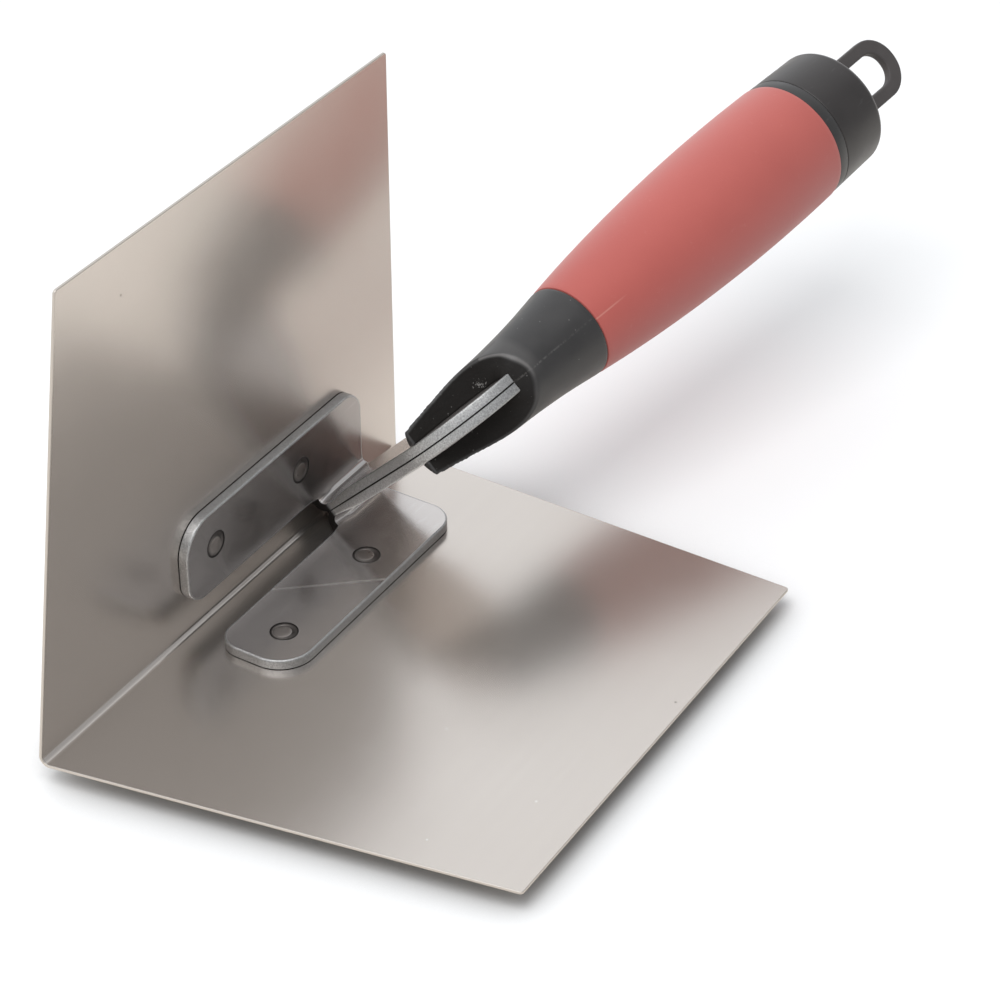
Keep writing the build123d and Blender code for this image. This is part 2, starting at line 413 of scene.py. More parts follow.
def blade_steel():
    look = Look("blade_steel")
    cloud = look.noise(60, 2)
    rolled = look.noise(1.4, 1, (1, 0.02, 1))
    smudge = look.noise(22, 4, rough=0.55)
    pale = look.between(look.cells(11), 0.018, 0.03, 1, 0)
    dark = look.between(look.cells(17), 0.012, 0.024, 1, 0)
    colour = look.mix(cloud, (0.595, 0.548, 0.508), (0.625, 0.582, 0.545))
    colour = look.mix(look.between(rolled, 0.3, 0.7, 0, 0.06), colour, (0.5, 0.46, 0.42))
    colour = look.mix(look.math("MULTIPLY", pale, 0.4), colour, (0.85, 0.85, 0.85))
    colour = look.mix(look.math("MULTIPLY", dark, 0.6), colour, (0.2, 0.18, 0.16))
    edge = look.attribute("edge")
    colour = look.mix(edge, colour, (0.52, 0.48, 0.44))
    # Hole walls are painted near black, as shade
    colour = look.mix(look.attribute("gap"), colour, (0.03, 0.027, 0.025))
    rough = look.between(smudge, 0.3, 0.75, 0.235, 0.265)
    rough = look.math("ADD", rough, look.math("MULTIPLY", edge, 0.2))
    grain = look.bump(rolled, 0.0007)
    look.set(
        Base_Color=colour,
        Metallic=0.94,
        Roughness=rough,
        Normal=look.bump(look.noise(70, 1), 0.03, grain),
    )
    return look.material


def bracket_steel():
    look = Look("bracket_steel")
    cloud = look.noise(9, 4, rough=0.6)
    fine = look.noise(0.35, 3)
    edge = look.attribute("edge")
    scuff = look.between(look.noise(1.1, 4, (1, 0.12, 1)), 0.60, 0.72)
    speck = look.between(look.cells(4), 0.03, 0.06, 1, 0)
    colour = look.mix(cloud, (0.51, 0.483, 0.468), (0.60, 0.57, 0.555))
    # The left bracket, and the tang towards its left face, are painted darker as shade
    left = look.between(look.math("SUBTRACT", look.axis(2), look.axis(0)), -4, 4)
    colour = look.mix(left, colour, look.mix(cloud, (0.40, 0.38, 0.37), (0.47, 0.45, 0.44)))
    colour = look.mix(look.math("MULTIPLY", scuff, 0.2), colour, (0.66, 0.66, 0.66))
    colour = look.mix(look.math("MULTIPLY", speck, 0.3), colour, (0.7, 0.7, 0.7))
    scratch = look.math(
        "SUBTRACT",
        look.math("MULTIPLY", look.math("SUBTRACT", look.axis(0), 8.1), 0.85),
        look.math("SUBTRACT", look.axis(1), 2.6),
    )
    scratch = look.between(look.math("ABSOLUTE", scratch), 0.2, 0.6, 1, 0)
    inner = look.between(look.axis(0), 7.0, 8.5)
    scratch = look.math("MULTIPLY", scratch, inner)
    wear_and_highlight = look.between(look.noise(2.5, 3), 0.2, 0.6, 0.25, 0.6)
    scratch = look.math("MULTIPLY", scratch, wear_and_highlight)
    colour = look.mix(scratch, colour, (0.78, 0.77, 0.75))
    shear = look.between(look.noise(0.32, 4, rough=0.7), 0.35, 0.7, 0.0, 1.0)
    sheared = look.mix(shear, (0.30, 0.30, 0.30), (0.62, 0.62, 0.62))
    colour = look.mix(edge, colour, sheared)
    # Gaps are painted near black as shade, and lose their metal and sheen
    gap = look.attribute("gap")
    colour = look.mix(gap, colour, (0.012, 0.01, 0.009))
    rough = look.between(cloud, 0.3, 0.7, 0.17, 0.25)
    rough = look.math("ADD", rough, look.math("MULTIPLY", scratch, 0.25))
    rough = look.math("ADD", rough, look.math("MULTIPLY", edge, 0.18))
    wave = look.bump(look.noise(9, 2), 0.02)
    grain = look.bump(fine, 0.0015, wave)
    grit = look.bump(look.math("MULTIPLY", shear, edge), 0.03, grain)
    metal = look.between(gap, 0, 1, 1.0, 0.0)
    look.set(
        Base_Color=colour,
        Metallic=metal,
        Roughness=rough,
        Specular_IOR_Level=look.between(gap, 0, 1, 0.5, 0.05),
        Normal=grit,
    )
    return look.material


def rivet_steel():
    look = Look("rivet_steel")
    stain = look.noise(1.2, 4, rough=0.6)
    groove_dirt_and_shade = look.attribute("edge")
    colour = look.mix(stain, (0.30, 0.275, 0.26), (0.44, 0.41, 0.39))
    # The rings are painted near black, for dirt and for shade in the recess
    colour = look.mix(groove_dirt_and_shade, colour, (0.022, 0.018, 0.016))
    look.set(
        Base_Color=colour,
        Metallic=look.between(groove_dirt_and_shade, 0, 1, 1.0, 0.3),
        Roughness=look.between(stain, 0.3, 0.7, 0.26, 0.4),
        Normal=look.bump(look.noise(0.4, 3), 0.012),
    )
    return look.material


def core_plastic():
    look = Look("core_plastic")
    cloud = look.noise(5, 4)
    fine = look.noise(0.3, 3)
    across, along = look.axis(2), look.axis(0)
    seam = look.between(look.math("ABSOLUTE", across), 0.10, 0.28, 1, 0)
    dots = look.between(look.noise(0.7, 2), 0.42, 0.58)
    seam = look.math("MULTIPLY", look.math("MULTIPLY", seam, dots), 0.45)
    seam = look.math("MULTIPLY", seam, look.between(along, 30, 38, 1.0, 0.35))
    rough_cut = look.attribute("edge")
    torn = look.node(
        "ShaderNodeVectorMath",
        {0: look.place, 1: [c * MM for c in TORN_SPOT]},
        operation="DISTANCE",
    ).outputs["Value"]
    torn = look.between(torn, 0.6 * MM, 2.6 * MM, 0.15, 0.0)
    flash = look.math("ADD", look.noise(0.5, 4, rough=0.75), torn)
    flash = look.math("MULTIPLY", look.between(flash, 0.67, 0.75), rough_cut)
    colour = look.mix(cloud, (0.022, 0.021, 0.021), (0.036, 0.034, 0.034))
    # Inside the cut the core is painted darker, as shade in the scoop
    depth = look.math("MULTIPLY", rough_cut, look.between(along, 19, 24, 1.0, 0.55))
    colour = look.mix(depth, colour, (0.013, 0.0115, 0.0105))
    # A highlight is painted along the scoop's rim
    rim = look.attribute("rim")
    colour = look.mix(look.math("MULTIPLY", rim, 0.7), colour, (0.19, 0.18, 0.175))
    dust = look.between(look.cells(2.2), 0.05, 0.09, 1, 0)
    colour = look.mix(look.math("MULTIPLY", dust, 0.25), colour, (0.3, 0.29, 0.28))
    # Reflections see the core painted lighter, a painted reflection tone
    glossy = look.node("ShaderNodeLightPath").outputs["Is Glossy Ray"]
    colour = look.mix(look.math("MULTIPLY", glossy, 0.8), colour, (0.14, 0.133, 0.128))
    colour = look.mix(look.math("MULTIPLY", flash, 0.8), colour, (0.3, 0.29, 0.28))
    colour = look.mix(seam, colour, (0.12, 0.115, 0.11))
    rough = look.between(cloud, 0.3, 0.7, 0.36, 0.48)
    rough = look.math("ADD", rough, look.math("MULTIPLY", rough_cut, 0.15))
    relief = look.bump(fine, 0.006)
    relief = look.bump(
        look.math("MULTIPLY", look.noise(1.6, 4, rough=0.65), rough_cut), 0.25, relief
    )
    look.set(
        Base_Color=colour,
        Roughness=rough,
        Specular_IOR_Level=look.between(rough_cut, 0, 1, 0.5, 0.12),
        Normal=look.bump(seam, 0.06, relief),
    )
    return look.material


def grip_rubber():
    look = Look("grip_rubber")
    cloud = look.noise(14, 4)
    fine = look.noise(0.28, 2)
    dust = look.between(look.noise(2.2, 5, rough=0.7), 0.62, 0.8)
    colour = look.mix(cloud, (0.42, 0.088, 0.074), (0.48, 0.108, 0.090))
    colour = look.mix(look.math("MULTIPLY", dust, 0.12), colour, (0.7, 0.4, 0.35))
    height, cross = look.axis(1), look.axis(2)
    lean = look.math("ARCTAN2", cross, height)
    part = look.math("ABSOLUTE", look.math("SUBTRACT", lean, 0.06))
    part = look.between(part, 0.008, 0.02, 1, 0)
    fade = look.between(look.axis(0), GRIP_START + 4.6, GRIP_START + 9.6, 1, 0)
    part = look.math("MULTIPLY", part, fade)
    colour = look.mix(look.math("MULTIPLY", part, 0.22), colour, (0.8, 0.5, 0.4))
    # Reflections see the grip painted a muted red, a painted reflection colour
    glossy = look.node("ShaderNodeLightPath").outputs["Is Glossy Ray"]
    colour = look.mix(glossy, colour, (0.43, 0.23, 0.195))
    look.set(
        Base_Color=colour,
        Roughness=look.between(cloud, 0.3, 0.7, 0.5, 0.6),
        Specular_IOR_Level=0.35,
        Sheen_Weight=0.3,
        Normal=look.bump(fine, 0.012),
    )
    return look.material


def cap_plastic():
    look = Look("cap_plastic")
    cloud = look.noise(6, 4)
    scuff = look.between(look.noise(0.9, 4, (0.2, 1, 1)), 0.64, 0.75)
    colour = look.mix(cloud, (0.0215, 0.0185, 0.0180), (0.0345, 0.0300, 0.0290))
    colour = look.mix(look.math("MULTIPLY", scuff, 0.2), colour, (0.12, 0.12, 0.12))
    # The cap's rounded end corner is painted lighter, a painted highlight
    corner = look.math("ABSOLUTE", look.math("SUBTRACT", look.axis(0), CAP_END - 0.5))
    wear_and_highlight = look.between(corner, 0.25, 0.75, 0.4, 0)
    colour = look.mix(wear_and_highlight, colour, (0.13, 0.12, 0.12))
    look.set(
        Base_Color=colour,
        Roughness=look.between(cloud, 0.3, 0.7, 0.34, 0.44),
        Normal=look.bump(look.noise(0.3, 2), 0.005),
    )
    return look.material


def loop_plastic():
    look = Look("loop_plastic")
    cloud = look.noise(2.5, 5, rough=0.6)
    colour = look.mix(cloud, (0.045, 0.039, 0.038), (0.075, 0.067, 0.065))
    look.set(
        Base_Color=colour,
        Roughness=look.between(cloud, 0.3, 0.7, 0.5, 0.65),
        Normal=look.bump(look.noise(0.35, 3), 0.012),
    )
    return look.material


def floor_paper():
    look = Look("floor_paper")
    cloud = look.noise(300, 3)
    colour = look.mix(cloud, (0.90, 0.90, 0.90), (0.93, 0.93, 0.93))
    paths = look.node("ShaderNodeLightPath").outputs
    # Near the part the floor is painted darker by an occlusion node, a painted contact shadow
    close = look.node(
        "ShaderNodeAmbientOcclusion", {"Distance": 0.022}, samples=8
    ).outputs["AO"]
    colour = look.mix(look.between(close, 0.2, 1.0, 0.55, 0), colour, (0.0, 0.0, 0.0))
    # Bounce light sees the floor darker, as painted shade, and reflections see it warmer, as
    # painted reflection colour
    colour = look.mix(paths["Is Diffuse Ray"], colour, (0.62, 0.62, 0.62))
    colour = look.mix(paths["Is Glossy Ray"], colour, (1.0, 0.96, 0.9))
    look.set(
        Base_Color=colour,
        Roughness=0.9,
        Specular_IOR_Level=0.1,
        Normal=look.bump(look.noise(1.5, 3), 0.01),
    )
    return look.material


def dressed(made, material, slot, *nodes):
    """Gives a new piece its material and its body, and hides the CAD nodes it stands for."""
    made.data.materials.clear()
    made.data.materials.append(material)
    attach(made, "root")
    if nodes:
        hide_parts(*nodes)


# ------------------------------------------------------------------- blade

blade_low, blade_high = (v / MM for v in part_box("corner_blade"))
foot_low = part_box("right_bracket")[0] / MM
SHEET = foot_low.z
WING = blade_high.x
BLADE_FRONT, BLADE_REAR = blade_low.y, blade_high.y
SETBACK = 18.0
BEND_R = 2.0
HALF_BEND = BEND_R * pi / 4
TIP = WING - BEND_R + HALF_BEND
SHEET_GRID = 1.6

rivet_low, rivet_high = (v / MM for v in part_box("rivets"))
CLOSED_R = 2.35
RIVET_ROWS = (rivet_low.y + CLOSED_R, rivet_high.y - CLOSED_R)
RIVET_OUT = rivet_high.x - CLOSED_R
SHANK_R = 1.6


def on_blade(u, y, depth):
    """Point of the bent sheet: u along its outer face from the bend's middle."""
    side = abs(u)
    if side > HALF_BEND:
        out, up = side - HALF_BEND + BEND_R, depth
    else:
        angle = radians(225) + side / BEND_R
        out = BEND_R + (BEND_R - depth) * cos(angle)
        up = BEND_R + (BEND_R - depth) * sin(angle)
    return (out, y, up) if u >= 0 else (up, y, out)


blade_outline = densified(
    rounded(
        [
            (0, BLADE_FRONT, 0),
            (HALF_BEND, BLADE_FRONT, 0),
            (TIP, BLADE_FRONT + SETBACK, 0.8),
            (TIP, BLADE_REAR, 0.8),
            (-TIP, BLADE_REAR, 0.8),
            (-TIP, BLADE_FRONT + SETBACK, 0.8),
            (-HALF_BEND, BLADE_FRONT, 0),
        ]
    ),
    0.45,
)
hole_profile = [(0.68, 0.0), (0.6, 0.0), (0.3, 0.3), (0.0, SHEET)]
rivet_u = RIVET_OUT - BEND_R + HALF_BEND
blade_bounds = [(blade_outline, edge_profile(SHEET, 0.1, 0.14, 3))]
for y in RIVET_ROWS:
    for side in (-1, 1):
        blade_bounds.append((circle(side * rivet_u, y, SHANK_R), hole_profile))
bend_columns = np.linspace(-HALF_BEND, HALF_BEND, 17)
wing_columns = np.arange(HALF_BEND + 0.5, TIP, SHEET_GRID)
blade = plate(
    "blade_sheet",
    blade_bounds,
    on_blade,
    np.concatenate([-wing_columns[::-1], bend_columns, wing_columns]),
    np.arange(BLADE_FRONT + 0.6, BLADE_REAR, SHEET_GRID),
)
dressed(blade, blade_steel(), "blade_steel", "corner_blade")

# ---------------------------------------------------------------- brackets

PLATE = 2.3
FOLD_R = 3.3
FOLD_REACH = FOLD_R / tan(radians(22.5))
FOLD_LENGTH = FOLD_R * radians(135)
FOOT_INNER = SHEET + FOLD_REACH
FOOT_WIDTH = 19.0
FOOT_FRONT = foot_low.y
FOOT_REAR = 46.8
TANG_START = SHEET * sqrt(2) + FOLD_REACH
TANG_FRONT = 29.4
FOOT_FRONT_INNER_R, FOOT_FRONT_OUTER_R, FOOT_REAR_OUTER_R = 5.0, 8.0, 6.0
LEG_WAIST, LEG_SHOULDER, LEG_BACK_R = (49.2, 21.5), (54.3, 32.5), 14.0
BAR_TOP, BAR_BOTTOM, BAR_END, BAR_CORNER_R = 6.2, -7.5, 87.0, 2.0
HEEL_STATION, HEEL_R = 27.6, 14.0
TANG_SWEEP_R = 22.0
FOLD_FRONT_R = 3.4
PATTERN_TOP, PATTERN_REAR, PLATE_GRID = -70.0, 120.0, 1.2
EDGE_LOW, EDGE_HIGH = 0.15, 0.36

# The fold's inside is coined fuller, and its front end is pinched thinner
COINED, COINED_REACH = 0.5, FOLD_LENGTH / 2 + 2.2
PINCH_SHARE, PINCH_REACH, PINCH_RUN = 0.5, 6.0, 14.0

# The fold's front end is painted dark as shade up to x + z and out to x or z, each with its
# fade
DARK_UP, DARK_UP_FADE = 13.6, 1.6
DARK_OUT, DARK_OUT_FADE = FOOT_INNER + 0.9, 1.4

# The handle's axis passes through the pin and is square to the hang opening's
pin_low, pin_high = (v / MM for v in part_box("tang_pin"))
PIN_STATION = 70.0
hang = next(m for m in record["mounts"] if m["name"] == "hang_opening")
upward = Vector(hang["axis"]).normalized()
across = Vector((1, 0, -1)).normalized()
along = upward.cross(across).normalized()
collar_front = (pin_low + pin_high) / 2 - along * PIN_STATION
HANDLE = Matrix((along, upward, across)).transposed().to_4x4()
HANDLE.translation = collar_front * MM


def on_bracket(v, y, depth):
    """Point of the right bracket: v outwards from the foot's inner line, and
    below zero through the fold and on up the tang."""
    from_middle = v + FOLD_LENGTH / 2
    reach = abs(from_middle) / COINED_REACH
    if reach < 1:
        depth += COINED * cos(pi / 2 * reach) ** 2 * depth / PLATE
    run = from_middle / (-PINCH_RUN if from_middle < 0 else FOLD_LENGTH / 2)
    if run < 1 and y < TANG_FRONT + PINCH_REACH:
        pinch = cos(pi / 2 * run) ** 2 * (1 - (y - TANG_FRONT) / PINCH_REACH) ** 2
        depth *= 1 - PINCH_SHARE * min(pinch, 1.0)
    if v >= 0:
        return FOOT_INNER + v, y, SHEET + depth
    if v >= -FOLD_LENGTH:
        angle = radians(270) + v / FOLD_R
        out = FOOT_INNER + (FOLD_R - depth) * cos(angle)
        return out, y, SHEET + FOLD_R + (FOLD_R - depth) * sin(angle)
    height = TANG_START - v - FOLD_LENGTH
    return (height + depth) / sqrt(2), y, (height - depth) / sqrt(2)


def mirrored(x, y, z):
    return z, y, x


def tang_corner(y, height, radius):
    """Corner of the flat pattern from a point of the tang's own plane."""
    return (TANG_START - height - FOLD_LENGTH, y, radius)


def bar_corner(station, height, radius):
    """The same, from a point given along the handle."""
    at = collar_front + along * station + upward * height
    return tang_corner(at.y, (at.x + at.z) / sqrt(2), radius)


rise = atan2(along.x * sqrt(2), along.y)
sweep_station = (TANG_FRONT - collar_front.y + BAR_TOP * sin(rise)) / cos(rise)
bracket_outline = densified(
    rounded(
        [
            (0, FOOT_FRONT, FOOT_FRONT_INNER_R),
            (FOOT_WIDTH, FOOT_FRONT, FOOT_FRONT_OUTER_R),
            (FOOT_WIDTH, FOOT_REAR, FOOT_REAR_OUTER_R),
            (-FOLD_LENGTH, FOOT_REAR, 0),
            tang_corner(*LEG_WAIST, LEG_BACK_R),
            tang_corner(*LEG_SHOULDER, LEG_BACK_R),
            bar_corner(HEEL_STATION, BAR_BOTTOM, HEEL_R),
            bar_corner(BAR_END, BAR_BOTTOM, BAR_CORNER_R),
            bar_corner(BAR_END, BAR_TOP, BAR_CORNER_R),
            bar_corner(sweep_station, BAR_TOP, TANG_SWEEP_R),
            (-FOLD_LENGTH, TANG_FRONT, 0),
            (0, TANG_FRONT, FOLD_FRONT_R),
        ]
    ),
    0.4,
)
sink_profile = [(0, 0), (0, PLATE - 1.4), (1.3, PLATE - 0.1), (1.42, PLATE), (1.5, PLATE)]
bracket_bounds = [(bracket_outline, edge_profile(PLATE, EDGE_LOW, EDGE_HIGH))]
for y in RIVET_ROWS:
    bracket_bounds.append((circle(RIVET_OUT - FOOT_INNER, y, SHANK_R), sink_profile))
fold_columns = np.linspace(-FOLD_LENGTH, 0, 25)
pattern_columns = np.concatenate(
    [
        np.arange(PATTERN_TOP, -FOLD_LENGTH - 0.4, PLATE_GRID),
        fold_columns,
        np.arange(0.6, FOOT_WIDTH, PLATE_GRID),
    ]
)
pattern_rows = np.arange(FOOT_FRONT + 0.5, PATTERN_REAR, PLATE_GRID)
plate_steel = bracket_steel()
right_plate = plate(
    "right_bracket_plate",
    bracket_bounds,
    on_bracket,
    pattern_columns,
    pattern_rows,
    EDGE_LOW,
)
left_plate = plate(
    "left_bracket_plate",
    bracket_bounds,
    lambda v, y, depth: mirrored(*on_bracket(v, y, depth)),
    pattern_columns,
    pattern_rows,
    EDGE_LOW,
)
# The front ends of the folds are painted dark as shade, where they look into the shaded pocket
# between the feet
for made in (right_plate, left_plate):
    shaded = made.data.attributes["gap"].data
    rims = made.data.attributes["edge"].data
    for vertex, rim, shade in zip(made.data.vertices, rims, shaded):
        x, y, z = (c / MM for c in vertex.co)
        if rim.value > 0.5 and y < TANG_FRONT + 0.45:
            up = (DARK_UP - x - z) / DARK_UP_FADE
            out = (DARK_OUT - max(x, z)) / DARK_OUT_FADE
            shade.value = max(shade.value, min(1.0, up, out))
dressed(right_plate, plate_steel, "bracket_steel", "right_bracket")
dressed(left_plate, plate_steel, "bracket_steel", "left_bracket")

# ------------------------------------------------------------------ rivets

FOOT_TOP = SHEET + PLATE
RIVET_SIDES = 48
# The closed ends lean towards the crease, and their far side gets painted shade
LEAN_IN, LEAN_BACK, FAR_SIDE = 0.85, 0.52, radians(31)


def rivet_rings():
    """(radius, depth, offset, shade, shade_crescent) rings of one set rivet, from its
    flush head in the blade to its closed end in the foot.  shade darkens a ring for
    dirt and for painted shade in the recess, and shade_crescent adds painted shade
    on the far side."""
    return [
        (2.0, 0.02, 0, 0, 0),
        (2.12, 0.06, 0, 1, 0),
        (1.58, 0.6, 0, 1, 0),
        (1.58, FOOT_TOP - 1.42, 0, 1, 0),
        (2.86, FOOT_TOP - 0.12, 0, 1, 0),
        (2.78, FOOT_TOP - 0.06, 0, 1, 0),
        (2.52, FOOT_TOP - 0.06, 0.02, 0.9, 0),
        (2.42, FOOT_TOP - 0.05, 0.05, 0.45, 0.5),
        (2.08, FOOT_TOP - 0.05, 0.2, 0.3, 0.65),
        (1.98, FOOT_TOP - 0.11, 0.3, 0.9, 0.1),
        (1.86, FOOT_TOP - 0.06, 0.32, 0.35, 0),
        (1.72, FOOT_TOP - 0.03, 0.32, 0, 0),
        (0.9, FOOT_TOP - 0.02, 0.32, 0, 0),
    ]


def rivet_meshes():
    points, faces, groove_dirt_and_shade = [], [], []
    for y in RIVET_ROWS:
        for swap in (False, True):
            rings = []
            for radius, depth, offset, shade, shade_crescent in rivet_rings():
                rings.append(range(len(points), len(points) + RIVET_SIDES))
                for k in range(RIVET_SIDES):
                    angle = 2 * pi * k / RIVET_SIDES
                    x = RIVET_OUT - offset * LEAN_IN + radius * cos(angle)
                    place = (x, y - offset * LEAN_BACK + radius * sin(angle), depth)
                    points.append(mirrored(*place) if swap else place)
                    far = max(0.0, cos(angle - FAR_SIDE))
                    groove_dirt_and_shade.append(min(1.0, shade + shade_crescent * far))
            for one, two in zip(rings, rings[1:]):
                for k in range(RIVET_SIDES):
                    n = (k + 1) % RIVET_SIDES
                    faces.append((one[k], one[n], two[n], two[k]))
            faces.append(tuple(rings[0]))
            faces.append(tuple(rings[-1]))
    return points, faces, groove_dirt_and_shade


rivet_material = rivet_steel()
rivets = piece("set_rivets", *rivet_meshes())
dressed(rivets, rivet_material, "rivet_steel", "rivets")
frame["nodes"]["tang_pin"].data.materials.clear()
frame["nodes"]["tang_pin"].data.materials.append(rivet_material)

# ------------------------------------------------------------------ handle

GRIP_START, GRIP_END = 44.4, 124.2
FLANGE_END, SPIGOT_END, CAP_END = 127.2, 135.5, 141.5
COLLAR_REAR_R, SEAT_R, FLANGE_R = 11.1, 12.0, 15.0
CORE_SPLIT, REAR_START = 52.0, 88.0
COLLAR_KNOTS = [(0, 8.3), (11.7, 8.44), (23.4, 8.85), (33.9, 9.72), (GRIP_START, COLLAR_REAR_R)]

# The scoop: how its floor and wall run, and the swelling of its wall at the tang
SCOOP_KNOTS = [
    (5.0, -5.05),
    (10.0, -3.8),
    (14.5, -1.8),
    (18.0, 0.6),
    (20.3, 2.75),
    (22.0, 4.7),
    (23.6, 6.7),
    (25.0, 8.25),
    (26.2, 9.8),
]
SCOOP_SIDE = 14.0
SWELLING, SWELLING_AT, SWELLING_SPREAD, SWELLING_HALF = 2.1, 5.4, 2.6, 4.6
SLOT_HALF, SLOT_TOP, SLOT_BOTTOM = 2.25, 4.7, -7.6
LEG_SLOT_END, SLOT_END = 38.0, 60.0
VOXEL = 0.24
TORN_SPOT = (17.7, 0.4, -3.6)


def curve(knots, count):
    """Smooth line through (x, radius) knots."""
    xs = np.array([k[0] for k in knots], float)
    ys = np.array([k[1] for k in knots], float)
    slopes = np.gradient(ys, xs)
    line = []
    for x in np.linspace(xs[0], xs[-1], count):
        i = min(np.searchsorted(xs, x, side="right") - 1, len(xs) - 2)
        width = xs[i + 1] - xs[i]
        t = (x - xs[i]) / width
        y = (
            ys[i] * (2 * t**3 - 3 * t**2 + 1)
            + slopes[i] * width * (t**3 - 2 * t**2 + t)
            + ys[i + 1] * (3 * t**2 - 2 * t**3)
            + slopes[i + 1] * width * (t**3 - t**2)
        )
        line.append((x, y))
    return line


collar_line = curve(COLLAR_KNOTS, 60)
front = lathe(
    "handle_core_front",
    [(0, 0)]
    + collar_line[:-1]
    + [(GRIP_START - 0.2, COLLAR_REAR_R - 0.15), (GRIP_START, COLLAR_REAR_R - 0.4)]
    + [(GRIP_START, 9.2), (CORE_SPLIT, 9.8), (CORE_SPLIT, 0)],
)
scoop_line = curve(SCOOP_KNOTS, 30)
levels = [-SCOOP_SIDE, *np.linspace(-6, 6, 25), SCOOP_SIDE]
sections = []
for level in levels:
    swelling = SWELLING * exp(-((level / SWELLING_HALF) ** 4))
    line = [(-2, SCOOP_SIDE), (-2, -6.4), (0, -6.0)]
    for x, y in scoop_line:
        line.append((x - swelling * exp(-(((y - SWELLING_AT) / SWELLING_SPREAD) ** 2)), y))
    sections.append(line + [(SCOOP_KNOTS[-1][0], SCOOP_SIDE)])
cut(front, lofted("scoop", sections, levels))
slot_line = [
    (-2, -SCOOP_SIDE),
    (LEG_SLOT_END, -SCOOP_SIDE),
    (LEG_SLOT_END, SLOT_BOTTOM),
    (SLOT_END, SLOT_BOTTOM),
    (SLOT_END, SLOT_TOP),
    (-2, SLOT_TOP),
]
cut(front, prism("slot", slot_line, -SLOT_HALF, SLOT_HALF))
remesh = front.modifiers.new("remesh", "REMESH")
remesh.mode = "VOXEL"
remesh.voxel_size = VOXEL * MM
soften = front.modifiers.new("soften", "SMOOTH")
soften.factor = 0.5
soften.iterations = 6
applied(front)
for polygon in front.data.polygons:
    polygon.use_smooth = True

# How far each point lies below the collar's round outside marks the cut and its rim, where a
# highlight is painted
spots = np.zeros(len(front.data.vertices) * 3, np.float32)
front.data.vertices.foreach_get("co", spots)
spots = spots.reshape(-1, 3) / MM
shell = np.interp(spots[:, 0], *np.array(collar_line).T)
below = shell - np.hypot(spots[:, 1], spots[:, 2])
cut_mask = np.clip((below - 0.35) / 0.4, 0, 1) * (spots[:, 0] > 0.6)
# The painted highlight is strongest on the rim's upper left
rim_highlight_mask = np.exp(-(((below - 0.24) / 0.2) ** 2)) * (spots[:, 1] > 2.5)
rim_highlight_mask *= np.clip((2.5 - spots[:, 2]) / 4, 0.12, 1)
rim_highlight_mask *= np.clip((28 - spots[:, 0]) / 2, 0, 1) * (spots[:, 0] > 0.6)
for label, values in (("edge", cut_mask), ("rim", rim_highlight_mask)):
    attribute = front.data.attributes.new(label, "FLOAT", "POINT")
    attribute.data.foreach_set("value", values.astype(np.float32))

core_material = core_plastic()
rear = lathe(
    "handle_core_rear",
    [
        (REAR_START, 0),
        (REAR_START, 11.8),
        (GRIP_END, 11.8),
        (GRIP_END, 14.75),
        (GRIP_END + 0.1, 14.95),
        (GRIP_END + 0.35, FLANGE_R),
        (FLANGE_END - 0.3, FLANGE_R),
        (FLANGE_END - 0.1, 14.9),
        (FLANGE_END, 14.65),
        (FLANGE_END, 11.7),
        (SPIGOT_END, 11.7),
        (SPIGOT_END, 0),
    ],
)

grip_line = curve(
    [
        (GRIP_START, 11.1),
        (53, 12.2),
        (62, 13.15),
        (72, 14.0),
        (82, 14.65),
        (94, 15.18),
        (106, 15.4),
        (115, 15.38),
        (GRIP_END, 15.2),
    ],
    120,
)
grip = lathe(
    "grip_skin",
    [(GRIP_START, 10.0), (GRIP_START, 10.85), (GRIP_START + 0.12, 11.05)]
    + grip_line[1:-1]
    + [(GRIP_END - 0.1, 15.1), (GRIP_END, 14.9), (GRIP_END, SEAT_R), (78, SEAT_R)],
    closed=True,
)

cap_profile = rounded(
    [
        (FLANGE_END + 0.05, 11.8, 0),
        (FLANGE_END + 0.05, FLANGE_R - 0.03, 0.3),
        (CAP_END, 14.6, 1.6),
        (CAP_END + 0.9, 9.0, 12.0),
        (CAP_END + 1.5, 0.0, 0),
    ],
    0.2,
)
cap = lathe(
    "cap_shell",
    [tuple(p) for p in cap_profile] + [(SPIGOT_END + 2.5, 0.0), (SPIGOT_END + 2.5, 9.5)]
    + [(SPIGOT_END, 9.5), (SPIGOT_END, 11.8)],
    closed=True,
)


def turned_into_handle(x, y, depth):
    """The loop lies across the handle: its sketch's y is across, depth is up."""
    return x, depth - LOOP_THICKNESS / 2, -y


LOOP_R, LOOP_THICKNESS = 7.45, 2.2
LOOP_TOP = CAP_END + 17.2
LOOP_BASE_END = SPIGOT_END + 2.6
HOLE_R = 4.25
HOLE_TOP = CAP_END + 16.6
HOLE_BASE = CAP_END - 2.0
loop_outline = densified(
    rounded(
        [
            (LOOP_BASE_END, -LOOP_R, 0.9),
            (LOOP_TOP + LOOP_R, -LOOP_R, LOOP_R - 0.25),
            (LOOP_TOP + LOOP_R, LOOP_R, LOOP_R - 0.25),
            (LOOP_BASE_END, LOOP_R, 0.9),
        ]
    ),
    0.5,
)
opening = densified(
    rounded(
        [
            (HOLE_BASE, HOLE_R, 0.4),
            (HOLE_TOP + HOLE_R, HOLE_R, HOLE_R - 0.2),
            (HOLE_TOP + HOLE_R, -HOLE_R, HOLE_R - 0.2),
            (HOLE_BASE, -HOLE_R, 0.4),
        ]
    ),
    0.5,
)
strip_edge = edge_profile(LOOP_THICKNESS, 0.45, 0.45)
loop = plate(
    "loop_strip",
    [(loop_outline, strip_edge), (opening, strip_edge)],
    turned_into_handle,
    np.arange(LOOP_BASE_END + 0.6, LOOP_TOP + 8, 0.9),
    np.arange(-7, 7.1, 0.9),
)
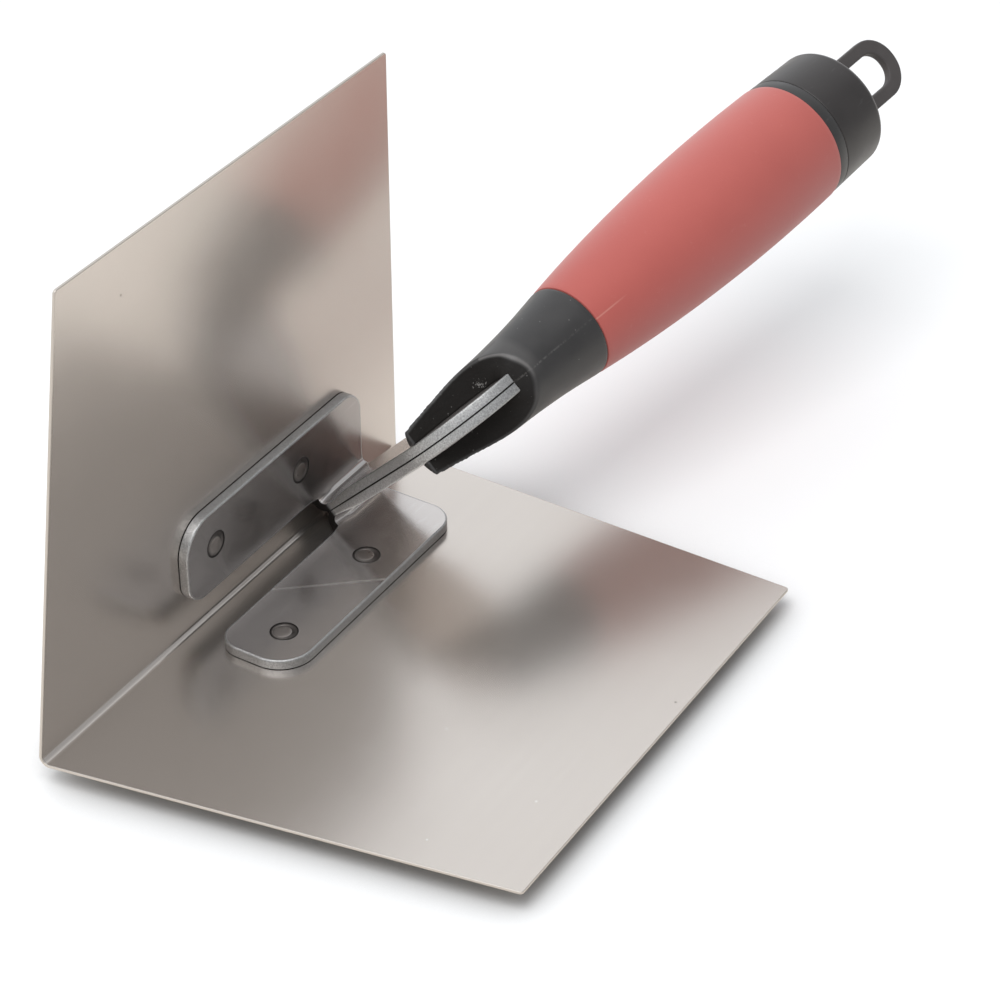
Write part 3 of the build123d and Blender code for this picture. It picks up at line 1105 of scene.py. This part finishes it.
leg_low, leg_high, leg_side = CAP_END - 3.2, CAP_END + 4, LOOP_THICKNESS / 2 + 0.05
leg = [(leg_low, -leg_side), (leg_high, -leg_side), (leg_high, leg_side), (leg_low, leg_side)]
leg_middle, leg_half = (LOOP_R + HOLE_R) / 2, (LOOP_R - HOLE_R) / 2 + 0.05
for side in (-1, 1):
    cut(cap, prism("leg", leg, side * leg_middle - leg_half, side * leg_middle + leg_half))
settled(cap)

for made in (front, rear, grip, cap, loop):
    made.matrix_world = HANDLE
dressed(front, core_material, "core_plastic", "handle_core")
dressed(rear, core_material, "core_plastic")
dressed(grip, grip_rubber(), "grip_rubber", "grip_sleeve")
dressed(cap, cap_plastic(), "cap_plastic", "end_cap")
dressed(loop, loop_plastic(), "loop_plastic", "hang_loop")

# ------------------------------------------------------------------ studio

FLOOR, FLOOR_HALF = -4.5, 3000.0
floor_corners = [(-1, -1), (1, -1), (1, 1), (-1, 1)]
ground = piece(
    "floor",
    [(x * FLOOR_HALF, y * FLOOR_HALF, FLOOR) for x, y in floor_corners],
    [(0, 1, 2, 3)],
)
ground.data.materials.append(floor_paper())

# A pale sky that darkens towards the +X side
SKY_RAMP = {"From Min": -0.45, "From Max": 0.55, "To Min": 1.24, "To Max": 0.5}
world = bpy.data.worlds.new("studio")
bpy.context.scene.world = world
world.use_nodes = True
tree = world.node_tree
sky = tree.nodes["Background"]
facing = tree.nodes.new("ShaderNodeTexCoord")
split = tree.nodes.new("ShaderNodeSeparateXYZ")
tree.links.new(facing.outputs["Generated"], split.inputs[0])
shade = tree.nodes.new("ShaderNodeMapRange")
for key, value in SKY_RAMP.items():
    shade.inputs[key].default_value = value
tree.links.new(split.outputs["X"], shade.inputs["Value"])
tree.links.new(shade.outputs["Result"], sky.inputs["Strength"])
sky.inputs["Color"].default_value = (0.965, 0.985, 1.01, 1)

middle = (cad_box[0] + cad_box[1]) / 2


def softbox(name, offset, size, power):
    light = bpy.data.lights.new(name, "AREA")
    light.shape = "RECTANGLE"
    light.size, light.size_y = size
    light.energy = power
    lamp = bpy.data.objects.new(name, light)
    bpy.context.scene.collection.objects.link(lamp)
    lamp.location = middle + Vector(offset)
    lamp.rotation_euler = Vector(offset).to_track_quat("Z", "Y").to_euler()


softbox("overhead", (0.03, -0.42, 0.9), (0.6, 0.6), 5.2)

LENS, DISTANCE = 106.93, 0.6218
AIM_OFFSET = Vector((-0.00496, 0.0360, -0.03029))
camera_data = bpy.data.cameras.new("camera")
camera_data.lens = LENS
camera_data.sensor_width = 36
camera_data.clip_start = 0.01
camera = bpy.data.objects.new("camera", camera_data)
bpy.context.scene.collection.objects.link(camera)
gaze = Vector((-0.42325, 0.68871, -0.58867)).normalized()
side = gaze.cross(Vector((0, 0, 1))).normalized()
lens_up = side.cross(gaze)
aim = sum(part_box("corner_blade"), Vector()) / 2 + AIM_OFFSET
camera.matrix_world = (
    Matrix.Translation(aim - gaze * DISTANCE)
    @ Matrix((side, lens_up, -gaze)).transposed().to_4x4()
)
bpy.context.scene.camera = camera
bpy.context.scene.view_settings.view_transform = "Standard"
